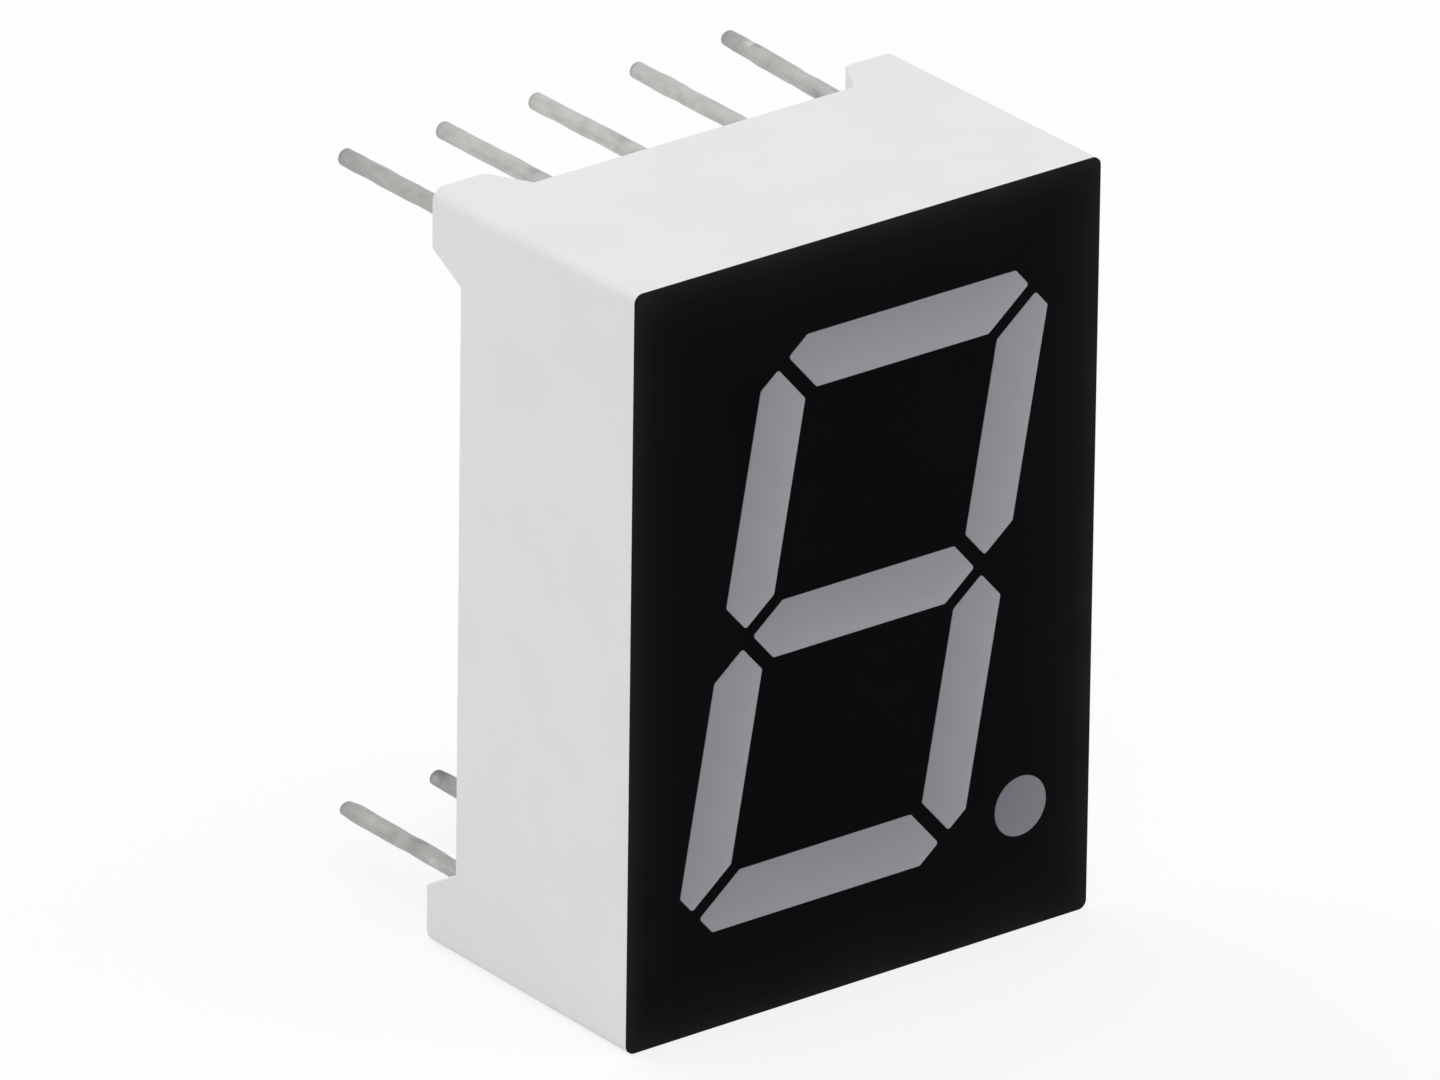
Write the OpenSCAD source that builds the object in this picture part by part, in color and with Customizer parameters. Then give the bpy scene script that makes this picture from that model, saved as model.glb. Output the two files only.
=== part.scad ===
// Seven segment display: one slanted digit with a decimal point, on ten round pins
// X runs right across the face, the face looks towards -Y, Z is up
// The origin is the centre of the pin field, on the plane where the feet meet a board

/* [Housing] */
// Width of the housing
body_w = 12.4; // [10.2:0.1:15]
// Height of the housing
body_h = 17.5; // [14.5:0.1:21]
// Depth from the face to the ends of the feet
body_d = 7; // [6:0.1:10]
// Thickness of the four walls
wall_t = 0.65; // [0.5:0.05:0.7]
// Radius of the four long outer corners
corner_r = 0.3; // [0.1:0.05:0.6]
// How far the feet stand out past the rear rim
foot_h = 1; // [0.6:0.1:1.2]
// Length of a foot's end along each wall
foot_len = 1.36; // [1.1:0.02:1.8]
// Extra length of a foot where its sloped flank meets the rim
foot_flank = 0.56; // [0.1:0.02:0.9]
// Thickness of the black layer on the face
print_t = 0.05; // [0.03:0.01:0.2]

/* [Digit] */
// Distance of the digit from the housing's top and bottom
digit_end_gap = 2.15; // [2.05:0.05:2.5]
// Distance of the digit, before it is slanted, from the housing's sides
digit_side_gap = 2.36; // [2.2:0.02:2.7]
// Width of a segment's stroke
stroke_w = 1.28; // [1.1:0.02:1.4]
// Lean of the digit from upright, in degrees
slant = 10; // [0:1:10]
// Width of the slots between segments
slot_w = 0.31; // [0.2:0.01:0.4]
// Sideways run of a slot for each unit of its rise
slot_run = 1.05; // [0.9:0.01:1.2]
// How far the cut outer corners lie beyond the stroke's centre lines
corner_cut = 0.26; // [0:0.02:0.5]
// Height of the digit's centre above the housing's centre
digit_rise = 0.1; // [0:0.05:0.2]
// Diameter of the decimal point
point_d = 1.4; // [1.2:0.05:1.5]
// Distance of the decimal point's centre from the housing's right side
point_side_gap = 1.86; // [1.6:0.02:2]
// Distance of the decimal point's centre from the housing's bottom
point_end_gap = 2.91; // [2.85:0.02:3.05]
// Size of a light well at the board, as a share of its window
well_scale = 0.72; // [0.68:0.02:0.86]

/* [Board] */
// Thickness of the circuit board
board_t = 0.8; // [0.6:0.1:1]
// Gap between the board's edge and the walls
board_gap = 0.1; // [0.05:0.05:0.2]
// Thickness of the copper
copper_t = 0.05; // [0.03:0.01:0.07]
// Width of a copper track
track_w = 0.25; // [0.2:0.01:0.3]
// How far the copper keeps back from the board's edge
copper_setback = 0.05; // [0.02:0.01:0.1]
// Diameter of the copper pad around a pin
pin_pad_d = 0.8; // [0.74:0.02:0.9]
// Diameter of the pad under a die
die_pad_d = 0.44; // [0.42:0.01:0.5]
// Diameter of the pad under a bond wire
bond_pad_d = 0.3; // [0.24:0.02:0.36]
// Thickness of the resin behind the board
potting_t = 1.25; // [0.8:0.05:1.5]
// Depth of the resin's surface below the rear rim
potting_drop = 0.25; // [0.1:0.05:0.5]

/* [Lamps] */
// Side of a square die
die_w = 0.28; // [0.2:0.01:0.3]
// Height of a die
die_h = 0.25; // [0.15:0.01:0.3]
// Distance from a segment's die to its bond pad
wire_span = 0.9; // [0.8:0.05:1]
// Distance from the decimal point's die to its bond pad
point_wire_span = 0.44; // [0.42:0.01:0.46]
// Diameter of a bond wire
wire_d = 0.05; // [0.03:0.01:0.06]
// Diameter of the foot at each end of a bond wire
wire_foot_d = 0.09; // [0.08:0.01:0.12]
// Thickness of the foot at each end of a bond wire
wire_foot_t = 0.03; // [0.02:0.01:0.04]

/* [Pins] */
// Diameter of a pin's free end
pin_d = 0.4; // [0.36:0.02:0.5]
// Diameter of a pin inside the display, where it isn't dipped in tin
pin_core_d = 0.38; // [0.34:0.02:0.46]
// Length of a pin past the feet
pin_len = 4.5; // [3:0.1:8]
// Length of the tinned end that lies behind the feet
dip_depth = 0.05; // [0.02:0.01:0.1]
// Distance of the outer pins' centres from the housing's sides
pin_side_gap = 1.12; // [1.12:0.01:1.2]
// Distance of each row of pins from the housing's top or bottom
pin_end_gap = 1.13; // [1.13:0.01:1.17]
// Height of a pin's end above the copper
pin_head_h = 0.4; // [0.3:0.05:0.6]
// Height of a solder fillet
solder_h = 0.3; // [0.2:0.05:0.3]
// Diameter of a solder fillet where it meets the copper
solder_d = 0.62; // [0.56:0.02:0.64]
// Diameter of a solder fillet at its top
solder_top_d = 0.48; // [0.44:0.02:0.54]
// Gap around the solder inside the reflector block
solder_gap = 0.15; // [0.1:0.05:0.2]

/* [Hidden] */
SEGMENTS = ["a", "b", "c", "d", "e", "f", "g"];
LAMPS = concat(SEGMENTS, ["point"]);
PINS = [for (n = [1 : 10]) n];
$fn = 48;
eps = 0.01;

// Levels along Y, from the face to the pins' tips
face_y = -body_d;
block_front_y = face_y + print_t;
rim_y = -foot_h;
potting_y = rim_y - potting_drop;
board_rear_y = potting_y - potting_t;
board_front_y = board_rear_y - board_t;
copper_y = board_front_y - copper_t;
well_depth = copper_y - face_y;

// The digit and its decimal point, placed from the housing's outer sides
digit_w = body_w - 2 * digit_side_gap;
digit_h = body_h - 2 * digit_end_gap;
point_right = body_w / 2 - point_side_gap;
point_drop = body_h / 2 - point_end_gap;

// The digit's own grid, before it is slanted: the centre lines of its strokes
half_stroke = stroke_w / 2;
grid_x = digit_w / 2 - half_stroke;
grid_z = digit_h / 2 - half_stroke;
slot_half = slot_w / 2 * sqrt(1 + pow(slot_run, 2));

// Corners of the upper stroke, of the right upright above the middle, and of the middle stroke
top_inner_x = grid_x - slot_half - slot_run * half_stroke;
top_outer_x = grid_x + corner_cut - slot_run * half_stroke;
top_tip = [grid_x + (corner_cut - slot_half) / 2, grid_z + (corner_cut + slot_half) / (2 * slot_run)];
side_tip = [grid_x + (corner_cut + slot_half) / 2, grid_z + (corner_cut - slot_half) / (2 * slot_run)];
shoulder = (half_stroke + slot_half) / slot_run;
outer_drop = (half_stroke - corner_cut) / slot_run;

bar_top = [
    [-top_inner_x, grid_z - half_stroke], [top_inner_x, grid_z - half_stroke], top_tip,
    [top_outer_x, grid_z + half_stroke], [-top_outer_x, grid_z + half_stroke], [-top_tip.x, top_tip.y]
];
bar_side = [
    [grid_x, slot_half / slot_run], [grid_x + half_stroke, shoulder],
    [grid_x + half_stroke, grid_z - outer_drop], side_tip,
    [grid_x - half_stroke, grid_z - shoulder], [grid_x - half_stroke, shoulder]
];
bar_middle = [
    [slot_half - grid_x, 0], [-top_inner_x, -half_stroke], [top_inner_x, -half_stroke],
    [grid_x - slot_half, 0], [top_inner_x, half_stroke], [-top_inner_x, half_stroke]
];

// Each segment as a base outline, its mirror signs across X and Z, and its centre on the grid
OUTLINES = [
    [bar_top, [1, 1], [0, grid_z]],
    [bar_side, [1, 1], [grid_x, grid_z / 2]],
    [bar_side, [1, -1], [grid_x, -grid_z / 2]],
    [bar_top, [1, -1], [0, -grid_z]],
    [bar_side, [-1, -1], [-grid_x, -grid_z / 2]],
    [bar_side, [-1, 1], [-grid_x, grid_z / 2]],
    [bar_middle, [1, 1], [0, 0]]
];
function lean(p) = [p.x + p.y * tan(slant), p.y + digit_rise];
function outline(i) = [for (p = OUTLINES[i][0]) lean([p.x * OUTLINES[i][1].x, p.y * OUTLINES[i][1].y])];
function lamp_centre(i) = i < len(SEGMENTS) ? lean(OUTLINES[i][2]) : [point_right, -point_drop];

// Pins 1 to 5 run along the lower row from the left, pins 6 to 10 back along the upper row
row_count = len(PINS) / 2;
pin_pitch = (body_w - 2 * pin_side_gap) / (row_count - 1);
row_gap = body_h - 2 * pin_end_gap;
function pin_column(n) = n <= row_count ? n - 1 : 2 * row_count - n;
function pin_at(n) = [(pin_column(n) - (row_count - 1) / 2) * pin_pitch, (n <= row_count ? -1 : 1) * row_gap / 2];
COMMON_PINS = [3, 8];
// The pin that each lamp's bond wire leads to, in the order of LAMPS
LAMP_PINS = [7, 6, 4, 2, 1, 9, 10, 5];

// Each wire runs along its segment: away from the die, as a unit vector, towards the lamp's own pin
up_the_slant = [sin(slant), cos(slant)];
WIRE_WAYS = [
    [1, 0], up_the_slant, -up_the_slant, [-1, 0], -up_the_slant, up_the_slant, [-1, 0], [0, -1]
];
function span_of(i) = i < len(SEGMENTS) ? wire_span : point_wire_span;
function die_at(i) = lamp_centre(i) - WIRE_WAYS[i] * span_of(i) / 2;
function bond_at(i) = lamp_centre(i) + WIRE_WAYS[i] * span_of(i) / 2;

// A track leaves its bond pad at 45 degrees and then runs straight to its pin
function diagonal_knee(p, q) = [q.x, p.y + sign(q.y - p.y) * abs(q.x - p.x)];
function square_knee(p, q) = [q.x, p.y];
middle_lamp = search(["g"], LAMPS)[0];
point_lamp = search(["point"], LAMPS)[0];
right_lamp = search(["b"], LAMPS)[0];
function lamp_track(i) = let (p = bond_at(i), q = pin_at(LAMP_PINS[i]))
    [p, i == middle_lamp ? square_knee(p, q) : diagonal_knee(p, q), q];
// The common net for the decimal point goes around the outside of the right uprights
detour_right = point_right + point_d / 2;
function point_track() = let (p = die_at(right_lamp), q = die_at(point_lamp))
    [p, [detour_right, p.y - (detour_right - p.x)], [detour_right, q.y + (detour_right - q.x)], q];

// A wire's loop: an arc from the top of the die's foot to the top of the pad's foot
arc_lift = wire_foot_t + wire_d;
function arc_centre(i) = let (l = span_of(i), a = die_h + wire_foot_t - arc_lift, b = wire_foot_t - arc_lift)
    (pow(l, 2) + pow(b, 2) - pow(a, 2)) / (2 * l);

// Draws an outline of the X-Z plane from one level along Y to another
module between(y0, y1) {
    translate([0, y1, 0])
        rotate([90, 0, 0])
            linear_extrude(height = y1 - y0)
                children();
}

module rounded_frame(w, h, r) {
    square([w - 2 * r, h], center = true);
    square([w, h - 2 * r], center = true);
    for (x = [-1, 1], y = [-1, 1])
        translate([x * (w / 2 - r), y * (h / 2 - r)])
            circle(r);
}

module outer_outline() {
    rounded_frame(body_w, body_h, corner_r);
}

module inner_outline(gap = 0) {
    square([body_w - 2 * (wall_t + gap), body_h - 2 * (wall_t + gap)], center = true);
}

// A tapered plug of light-guiding resin, full size at the face and narrower at the board
module segment_well(i) {
    c = lamp_centre(i);
    translate([c.x, face_y, c.y])
        rotate([-90, 0, 0])
            linear_extrude(height = well_depth, scale = well_scale)
                polygon([for (p = outline(i)) [p.x - c.x, c.y - p.y]]);
}

module point_well() {
    translate([point_right, face_y, -point_drop])
        rotate([-90, 0, 0])
            cylinder(d1 = point_d, d2 = point_d * well_scale, h = well_depth);
}

module all_wells() {
    for (i = [0 : len(SEGMENTS) - 1])
        segment_well(i);
    point_well();
}

// The gap between two feet along one wall, with sloped sides: w is the wall's whole length
module foot_gap(w) {
    open = w / 2 - foot_len;
    polygon([
        [-open, eps], [-open, 0], [foot_flank - open, rim_y],
        [open - foot_flank, rim_y], [open, 0], [open, eps]
    ]);
}

module housing() {
    color("white")
    difference() {
        between(block_front_y, 0) outer_outline();
        between(copper_y, eps) inner_outline();
        // feet left at the corners of the upper and lower walls
        translate([0, 0, -body_h / 2 - eps])
            linear_extrude(height = body_h + 2 * eps)
                foot_gap(body_w);
        // feet left at the corners of the side walls
        translate([-body_w / 2 - eps, 0, 0])
            rotate([90, 0, 90])
                linear_extrude(height = body_w + 2 * eps)
                    rotate(90)
                        mirror([0, 1])
                            foot_gap(body_h);
        all_wells();
        solder_troughs();
    }
}

// Room for the solder and the pins' ends, along each row of pins
module solder_troughs() {
    trough_in = row_gap / 2 - pin_pad_d / 2 - solder_gap;
    trough_out = body_h / 2 - wall_t;
    for (side = [-1, 1])
        translate([0, 0, side * (trough_in + trough_out) / 2])
            between(copper_y - pin_head_h - solder_gap, copper_y + eps)
                square([body_w - 2 * wall_t, trough_out - trough_in], center = true);
}

module face_print() {
    color("black")
    difference() {
        between(face_y, block_front_y) outer_outline();
        all_wells();
    }
}

// What a lamp takes out of its plug of resin
module lamp_inside(i) {
    led_die(i);
    bond_wire(i);
}

module segment(i) {
    color("silver")
    difference() {
        segment_well(i);
        lamp_inside(i);
    }
}

module decimal_point() {
    color("silver")
    difference() {
        point_well();
        lamp_inside(point_lamp);
    }
}

module led_die(i) {
    p = die_at(i);
    color("gold")
    translate([p.x, copper_y - die_h / 2, p.y])
        cube([die_w, die_h, die_w], center = true);
}

// A round foot at each end and an arc of wire between them
module bond_wire(i) {
    p = die_at(i);
    way = WIRE_WAYS[i];
    span = span_of(i);
    cx = arc_centre(i);
    lift = die_h + wire_foot_t - arc_lift;
    sink = wire_foot_t - arc_lift;
    r = sqrt(pow(cx, 2) + pow(lift, 2));
    from = atan2(sink, span - cx);
    to = atan2(lift, -cx);
    color("goldenrod")
    translate([p.x, copper_y, p.y])
        rotate([0, -atan2(way.y, way.x), 0])
            rotate([90, 0, 0]) {
                translate([0, 0, die_h]) cylinder(d = wire_foot_d, h = wire_foot_t);
                translate([span, 0, 0]) cylinder(d = wire_foot_d, h = wire_foot_t);
                translate([cx, 0, arc_lift])
                    rotate([90, 0, 0])
                        rotate([0, 0, from])
                            rotate_extrude(angle = to - from)
                                translate([r, 0]) circle(d = wire_d);
            }
}

module pin_holes(y0, y1) {
    for (n = PINS)
        translate([pin_at(n).x, 0, pin_at(n).y])
            between(y0, y1) circle(d = pin_core_d);
}

module circuit_board() {
    color("darkgreen")
    difference() {
        between(board_front_y, board_rear_y) inner_outline(board_gap);
        pin_holes(board_front_y - eps, board_rear_y + eps);
    }
}

// One straight stretch of track with a round end, in the X-Z plane
module stretch(p, q) {
    translate(p)
        rotate(atan2(q.y - p.y, q.x - p.x))
            translate([0, -track_w / 2])
                square([norm(q - p), track_w]);
    translate(q) circle(d = track_w);
}

module track(points) {
    for (k = [1 : len(points) - 1])
        stretch(points[k - 1], points[k]);
}

module common_net() {
    track([for (n = COMMON_PINS) pin_at(n)]);
    for (n = COMMON_PINS)
        translate(pin_at(n)) circle(d = pin_pad_d);
    for (i = [0 : len(SEGMENTS) - 1])
        track([[0, die_at(i).y], die_at(i)]);
    track(point_track());
    for (i = [0 : len(LAMPS) - 1])
        translate(die_at(i)) circle(d = die_pad_d);
}

module lamp_net(i) {
    track(lamp_track(i));
    translate(bond_at(i)) circle(d = bond_pad_d);
    translate(pin_at(LAMP_PINS[i])) circle(d = pin_pad_d);
}

module all_nets() {
    common_net();
    for (i = [0 : len(LAMPS) - 1])
        lamp_net(i);
}

module copper_tracks() {
    color("peru")
    difference() {
        between(copper_y, board_front_y)
            intersection() {
                all_nets();
                inner_outline(board_gap + copper_setback);
            }
        pin_holes(copper_y - eps, board_front_y + eps);
    }
}

module solder_joints() {
    color("lightgrey")
    for (n = PINS)
        difference() {
            translate([pin_at(n).x, copper_y, pin_at(n).y])
                rotate([90, 0, 0])
                    cylinder(d1 = solder_d, d2 = solder_top_d, h = solder_h);
            translate([pin_at(n).x, 0, pin_at(n).y])
                between(copper_y - solder_h - eps, copper_y + eps) circle(d = pin_core_d);
        }
}

module rear_potting() {
    color("gainsboro")
    difference() {
        between(board_rear_y, potting_y) inner_outline();
        pin_holes(board_rear_y - eps, potting_y + eps);
    }
}

// A straight round pin: bare inside the display, tinned and round-tipped outside it
module pin(n) {
    color("grey")
    translate([pin_at(n).x, 0, pin_at(n).y]) {
        between(-dip_depth, pin_len - pin_d / 2) circle(d = pin_d);
        between(copper_y - pin_head_h, -dip_depth) circle(d = pin_core_d);
        translate([0, pin_len - pin_d / 2, 0]) sphere(d = pin_d);
    }
}

housing();
face_print();
decimal_point();
circuit_board();
copper_tracks();
solder_joints();
rear_potting();
for (i = [0 : len(SEGMENTS) - 1])
    segment(i);
for (i = [0 : len(LAMPS) - 1])
    led_die(i);
for (i = [0 : len(LAMPS) - 1])
    bond_wire(i);
for (n = PINS)
    pin(n);
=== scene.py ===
import math

import bmesh
import bpy
from mathutils import Matrix, Vector
from mathutils.geometry import delaunay_2d_cdt


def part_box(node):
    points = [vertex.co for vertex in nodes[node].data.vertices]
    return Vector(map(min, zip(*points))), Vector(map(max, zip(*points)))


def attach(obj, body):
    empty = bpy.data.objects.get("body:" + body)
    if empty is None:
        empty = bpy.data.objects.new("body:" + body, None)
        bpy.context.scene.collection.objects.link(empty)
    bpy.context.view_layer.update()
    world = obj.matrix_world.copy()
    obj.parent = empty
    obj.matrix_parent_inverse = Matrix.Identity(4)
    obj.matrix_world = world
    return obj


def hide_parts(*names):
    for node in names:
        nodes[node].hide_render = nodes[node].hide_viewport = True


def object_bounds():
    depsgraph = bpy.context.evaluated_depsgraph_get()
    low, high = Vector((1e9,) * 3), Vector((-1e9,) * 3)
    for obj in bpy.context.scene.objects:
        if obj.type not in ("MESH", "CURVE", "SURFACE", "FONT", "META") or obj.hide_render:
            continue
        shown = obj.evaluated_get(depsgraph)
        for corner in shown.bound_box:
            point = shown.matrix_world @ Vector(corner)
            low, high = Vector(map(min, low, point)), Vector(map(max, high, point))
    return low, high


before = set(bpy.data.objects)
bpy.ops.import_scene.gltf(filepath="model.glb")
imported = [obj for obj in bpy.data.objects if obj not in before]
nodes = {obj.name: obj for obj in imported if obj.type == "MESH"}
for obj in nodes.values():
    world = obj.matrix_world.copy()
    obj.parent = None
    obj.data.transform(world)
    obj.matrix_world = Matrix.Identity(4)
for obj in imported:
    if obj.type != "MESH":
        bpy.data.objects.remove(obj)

cadLow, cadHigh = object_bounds()  # the CAD model's box, before anything is added
mm = 0.001
scene = bpy.context.scene
print("frame loaded with", len(nodes), "nodes")


def boxOf(node):  # a node's box in millimetres
    low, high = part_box(node)
    return low / mm, high / mm


# small tools for materials; the looks give each noise as its scale per millimetre, detail and roughness

noiseSpan = (0.3, 0.7)  # most of a noise texture's values lie between these


def startMaterial(name):
    material = bpy.data.materials.new(name)
    material.use_nodes = True
    tree = material.node_tree
    return material, tree, tree.nodes["Principled BSDF"]


def setSockets(tree, node, values):  # each socket gets a link from another node, or a plain value
    for name, value in values.items():
        if isinstance(value, bpy.types.NodeSocket):
            tree.links.new(value, node.inputs[name])
        else:
            node.inputs[name].default_value = value


def millimetreCoords(tree, stretch=(1, 1, 1)):
    coords = tree.nodes.new("ShaderNodeTexCoord")
    mapping = tree.nodes.new("ShaderNodeMapping")
    mapping.inputs["Scale"].default_value = [s / mm for s in stretch]  # textures then count in millimetres
    tree.links.new(coords.outputs["Object"], mapping.inputs["Vector"])
    return mapping.outputs["Vector"]


def addNoise(tree, vector, scale, detail, roughness=0.5):
    node = tree.nodes.new("ShaderNodeTexNoise")
    setSockets(tree, node, {"Vector": vector, "Scale": scale, "Detail": detail, "Roughness": roughness})
    return node.outputs["Fac"]


def addAttribute(tree, name):
    node = tree.nodes.new("ShaderNodeAttribute")
    node.attribute_name = name
    return node.outputs["Fac"]


def addRamp(tree, value, stops):
    node = tree.nodes.new("ShaderNodeValToRGB")
    for index, (place, colour) in enumerate(stops):
        point = node.color_ramp.elements[index] if index < 2 else node.color_ramp.elements.new(place)
        point.position = place
        point.color = (*colour, 1)
    tree.links.new(value, node.inputs["Fac"])
    return node.outputs["Color"]


def blendColours(tree, noise, first, second, span=noiseSpan):  # the second colour where the noise is high
    return addRamp(tree, noise, [(span[0], first), (span[1], second)])


def addRange(tree, noise, low, high):  # a number between low and high that follows the noise
    node = tree.nodes.new("ShaderNodeMapRange")
    setSockets(tree, node, {"Value": noise, "From Min": noiseSpan[0], "From Max": noiseSpan[1],
                            "To Min": low, "To Max": high})
    return node.outputs["Result"]


def addMath(tree, operation, *values):
    node = tree.nodes.new("ShaderNodeMath")
    node.operation = operation
    for socket, value in zip(node.inputs, values):
        if isinstance(value, (int, float)):
            socket.default_value = value
        else:
            tree.links.new(value, socket)
    return node.outputs["Value"]


def addBump(tree, height, depth):
    node = tree.nodes.new("ShaderNodeBump")
    setSockets(tree, node, {"Height": height, "Distance": depth * mm, "Strength": 1.0})
    return node.outputs["Normal"]


# small tools for meshes

sharpAngle = 35  # degrees: an edge that turns more stays sharp
weldWithin = 0.0002 * mm


def turnsAround(count):
    return [2 * math.pi * k / count for k in range(count)]


def circleAt(centre, radius, count):
    return [centre + radius * Vector((math.cos(a), math.sin(a))) for a in turnsAround(count)]


def roundedPath(points, radius, steps, closed=False):  # turns each corner of a polyline into a short arc
    made = []
    for k, corner in enumerate(points):
        corner = Vector(corner)
        if not closed and k in (0, len(points) - 1):
            made.append(corner)
            continue
        toLast = (Vector(points[k - 1]) - corner).normalized()
        toNext = (Vector(points[(k + 1) % len(points)]) - corner).normalized()
        half = toLast.angle(toNext) / 2
        centre = corner + (toLast + toNext).normalized() * radius / math.sin(half)
        first = corner + toLast * radius / math.tan(half) - centre
        turn = math.pi - 2 * half
        if toLast.cross(toNext) > 0:
            turn = -turn
        for s in range(steps + 1):
            made.append(centre + Matrix.Rotation(turn * s / steps, 2) @ first)
    return made


def addLoop(bm, flat, level):  # a ring of vertices from X-Z points, at one level along Y or a list of them
    levels = level if isinstance(level, list) else [level] * len(flat)
    return [bm.verts.new((p[0] * mm, y * mm, p[1] * mm)) for p, y in zip(flat, levels)]


def joinLoops(bm, loops):  # a band of faces between each ring and the next
    for first, second in zip(loops, loops[1:]):
        for k in range(len(first)):
            n = (k + 1) % len(first)
            bm.faces.new((first[k], first[n], second[n], second[k]))


def addPlug(bm, ends):  # a closed body between two outlines, each given with its level along Y
    loops = [addLoop(bm, flat, y) for flat, y in ends]
    joinLoops(bm, loops)
    for loop in loops:
        bm.faces.new(loop)


def ringEdges(bm, ring):
    pairs = [(ring[k - 1], ring[k]) for k in range(len(ring))]
    return [bm.edges.get(pair) or bm.edges.new(pair) for pair in pairs]


def smoothBelow(bm, degrees):
    for face in bm.faces:
        face.smooth = True
    for edge in bm.edges:
        edge.smooth = edge.calc_face_angle(0) < math.radians(degrees)


def makePiece(name, bm, material, sharpFrom=sharpAngle):
    bmesh.ops.recalc_face_normals(bm, faces=bm.faces)
    smoothBelow(bm, sharpFrom)
    mesh = bpy.data.meshes.new(name)
    bm.to_mesh(mesh)
    bm.free()
    mesh.materials.append(material)
    piece = bpy.data.objects.new(name, mesh)
    scene.collection.objects.link(piece)
    return piece


def applyModifiers(piece):
    graph = bpy.context.evaluated_depsgraph_get()
    mesh = bpy.data.meshes.new_from_object(piece.evaluated_get(graph))
    piece.modifiers.clear()
    old = piece.data
    piece.data = mesh
    bpy.data.meshes.remove(old)


def tidyMesh(piece, sharpFrom=sharpAngle):
    bm = bmesh.new()
    bm.from_mesh(piece.data)
    bmesh.ops.remove_doubles(bm, verts=bm.verts, dist=weldWithin)
    bmesh.ops.dissolve_degenerate(bm, edges=bm.edges, dist=weldWithin)
    bmesh.ops.recalc_face_normals(bm, faces=bm.faces)
    smoothBelow(bm, sharpFrom)
    openEdges = sum(1 for e in bm.edges if len(e.link_faces) != 2)
    bm.to_mesh(piece.data)
    bm.free()
    print(" ", piece.name, len(piece.data.polygons), "faces,", openEdges, "open edges")


def settle(piece, slot, *standsFor):
    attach(piece, "root")
    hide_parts(*standsFor)


# finishes

whiteLook = {
    "colour": (0.785, 0.775, 0.790), "tint": (0.760, 0.750, 0.765), "cloud": (0.35, 2.0),
    "grain": (22.0, 4.0, 0.6), "grainDepth": 0.0012, "rough": (0.48, 0.6), "specular": 0.35, "ior": 1.5,
}


def makeWhitePlastic():
    look = whiteLook
    material, tree, shader = startMaterial("whiteMouldedPlastic")
    place = millimetreCoords(tree)
    cloud = addNoise(tree, place, *look["cloud"])
    grain = addNoise(tree, place, *look["grain"])
    setSockets(tree, shader, {
        "Base Color": blendColours(tree, cloud, look["tint"], look["colour"]),
        "Roughness": addRange(tree, grain, *look["rough"]),
        "Normal": addBump(tree, grain, look["grainDepth"]),
        "Specular IOR Level": look["specular"],
        "IOR": look["ior"],
    })
    return material


# painted sheen: the black is lighter towards the face's edges; each stop is a share of the reach inwards and
# the colour there
inkLook = {
    "reach": 3.0, "blend": 1.2, "cloud": (0.5, 3.0), "uneven": 0.025,
    "stops": [(0.0, (0.0125, 0.0120, 0.0132)), (0.06, (0.0080, 0.0076, 0.0086)),
              (0.17, (0.0045, 0.0042, 0.0049)), (0.42, (0.0026, 0.0023, 0.0029)),
              (1.0, (0.0013, 0.0010, 0.0015))],
    "grain": (30.0, 3.0, 0.6), "grainDepth": 0.0009, "rough": (0.54, 0.6), "specular": 0.025,
}


def makeBlackInk():
    look, corner = inkLook, boxOf("face_print")[1]
    material, tree, shader = startMaterial("mattBlackInk")
    place = millimetreCoords(tree)
    cloud = addNoise(tree, place, *look["cloud"])
    grain = addNoise(tree, place, *look["grain"])
    where = tree.nodes.new("ShaderNodeSeparateXYZ")
    tree.links.new(place, where.inputs["Vector"])
    # painted sheen: a share of the reach in from the face's nearest edge, which lightens the black
    gaps = [addMath(tree, "SUBTRACT", half, addMath(tree, "ABSOLUTE", where.outputs[axis]))
            for axis, half in (("X", corner.x), ("Z", corner.z))]
    nearest = addMath(tree, "SMOOTH_MIN", *gaps, look["blend"])
    sheenFade = addMath(tree, "DIVIDE", nearest, look["reach"])
    uneven = addRange(tree, cloud, -look["uneven"], look["uneven"])
    setSockets(tree, shader, {
        "Base Color": addRamp(tree, addMath(tree, "ADD", sheenFade, uneven), look["stops"]),
        "Roughness": addRange(tree, cloud, *look["rough"]),
        "Normal": addBump(tree, grain, look["grainDepth"]),
        "Specular IOR Level": look["specular"],
    })
    return material


resinLook = {
    "bar": {"deep": (0.2597, 0.2656, 0.2896), "pale": (0.3247, 0.3322, 0.3621)},
    # painted shade: the point's resin is a darker copy of the bars', as the face darkens towards its lower
    # right
    "point": {"deep": (0.176, 0.180, 0.204), "pale": (0.216, 0.220, 0.244)},
    "mottle": (1.1, 3.0, 0.55), "mottleShare": 0.06,
    "speck": (26.0, 2.0), "speckDepth": 0.0008, "rough": (0.42, 0.55), "specular": 0.15,
}


def makeDiffuserResin(name, colours):  # painted light: brighter towards the well wall that catches the light, darker towards the far wall
    look, share = resinLook, resinLook["mottleShare"]
    material, tree, shader = startMaterial(name)
    place = millimetreCoords(tree)
    mottle = addNoise(tree, place, *look["mottle"])
    speck = addNoise(tree, place, *look["speck"])
    glow = addMath(tree, "ADD", addAttribute(tree, "wallGlow"), addRange(tree, mottle, -share, share))
    setSockets(tree, shader, {
        "Base Color": addRamp(tree, glow, [(0.0, colours["deep"]), (1.0, colours["pale"])]),
        "Roughness": addRange(tree, speck, *look["rough"]),
        "Normal": addBump(tree, speck, look["speckDepth"]),
        "Specular IOR Level": look["specular"],
    })
    return material


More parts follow.
